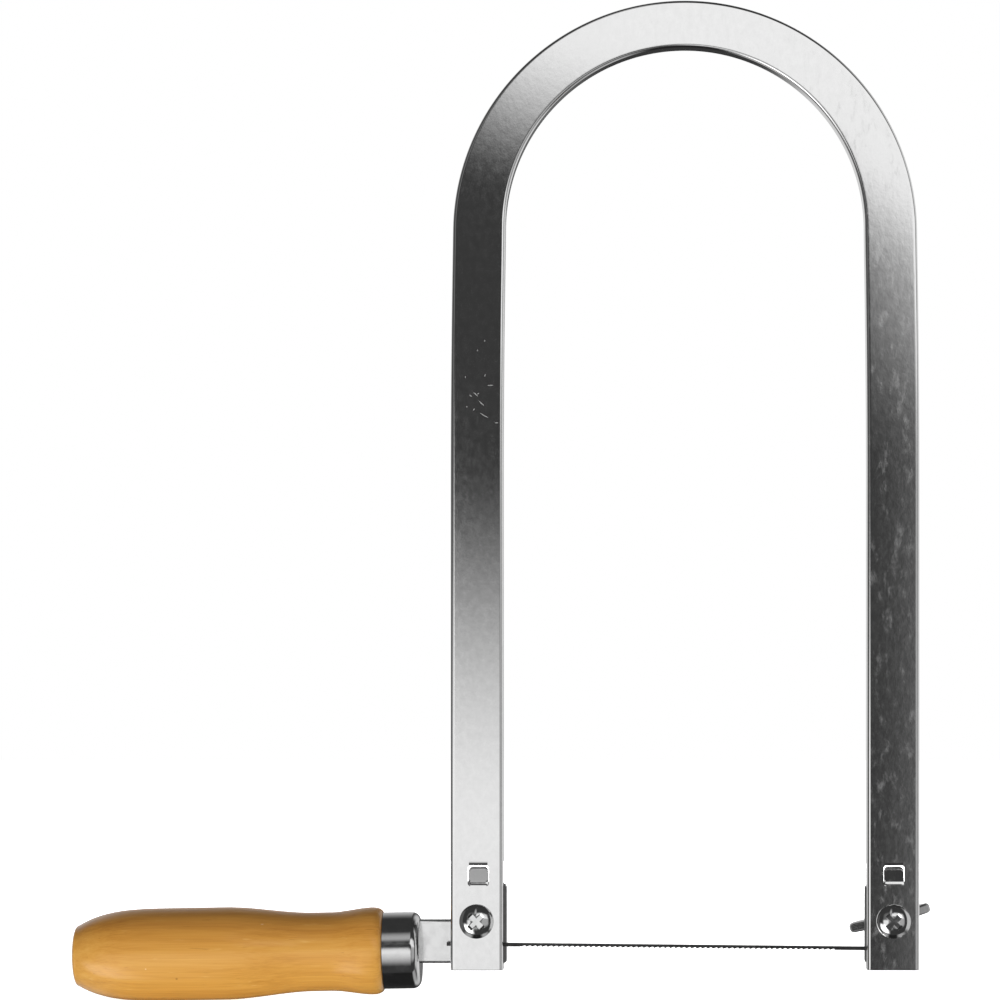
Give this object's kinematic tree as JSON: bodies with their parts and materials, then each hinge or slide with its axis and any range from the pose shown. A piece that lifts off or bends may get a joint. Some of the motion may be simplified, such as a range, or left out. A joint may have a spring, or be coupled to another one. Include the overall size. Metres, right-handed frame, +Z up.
{
  "type": "fret saw",
  "caption": "Fret saw with a tall bow pressed from sheet steel into an open channel, a turned wooden handle in a steel ferrule, and a fine toothed blade held by wing nut clamps.",
  "frame": {"origin": "below the middle of the whole saw, on the level of the handle's lowest point", "axes": "+Z up the bow from the blade to the arch, +X along the blade away from the handle, +Y towards the wing nuts at the back"},
  "size_m": [0.2432, 0.026, 0.2809],
  "materials": {
    "bow_steel": "bright plated sheet steel with a soft mirror gloss and light handling marks",
    "plated_fastener": "bright zinc plating",
    "blade_steel": "dark hardened steel",
    "clamp_steel": "satin plated sheet steel with bright sheared edges",
    "ferrule_steel": "polished nickel plate",
    "handle_wood": "clear varnished pale hardwood with fine lengthwise grain"
  },
  "bodies": {
    "bow": {"frame": "bow_steel", "left_clamp_screw": "plated_fastener", "right_clamp_screw": "plated_fastener", "blade": "blade_steel"},
    "left_clamp": {"left_clamp_plate": "clamp_steel", "tang_plate": "clamp_steel", "ferrule": "ferrule_steel", "handle": "handle_wood"},
    "right_clamp": {"right_clamp_plate": "clamp_steel"},
    "left_nut": {"left_wing_nut": "plated_fastener"},
    "right_nut": {"right_wing_nut": "plated_fastener"}
  },
  "joints": [
    {"name": "left_clamp_slide", "type": "slide", "parent": "bow", "child": "left_clamp", "axis": [0, 1, 0], "range_m": [0, 0.0032]},
    {"name": "left_nut_turn", "type": "hinge", "parent": "left_clamp", "child": "left_nut", "pos_m": [-0.00693, 0.001, 0.02292], "axis": [0, 1, 0], "range_deg": [0, 1440]},
    {"name": "right_clamp_slide", "type": "slide", "parent": "bow", "child": "right_clamp", "axis": [0, 1, 0], "range_m": [0, 0.0032]},
    {"name": "right_nut_turn", "type": "hinge", "parent": "right_clamp", "child": "right_nut", "pos_m": [0.10987, -0.001, 0.02292], "axis": [0, 1, 0], "range_deg": [0, 1440]}
  ],
  "couplings": [
    {"joint": "left_nut_turn", "follows": "left_clamp_slide", "rad_per_m": 7854},
    {"joint": "right_nut_turn", "follows": "right_clamp_slide", "rad_per_m": 7854}
  ]
}
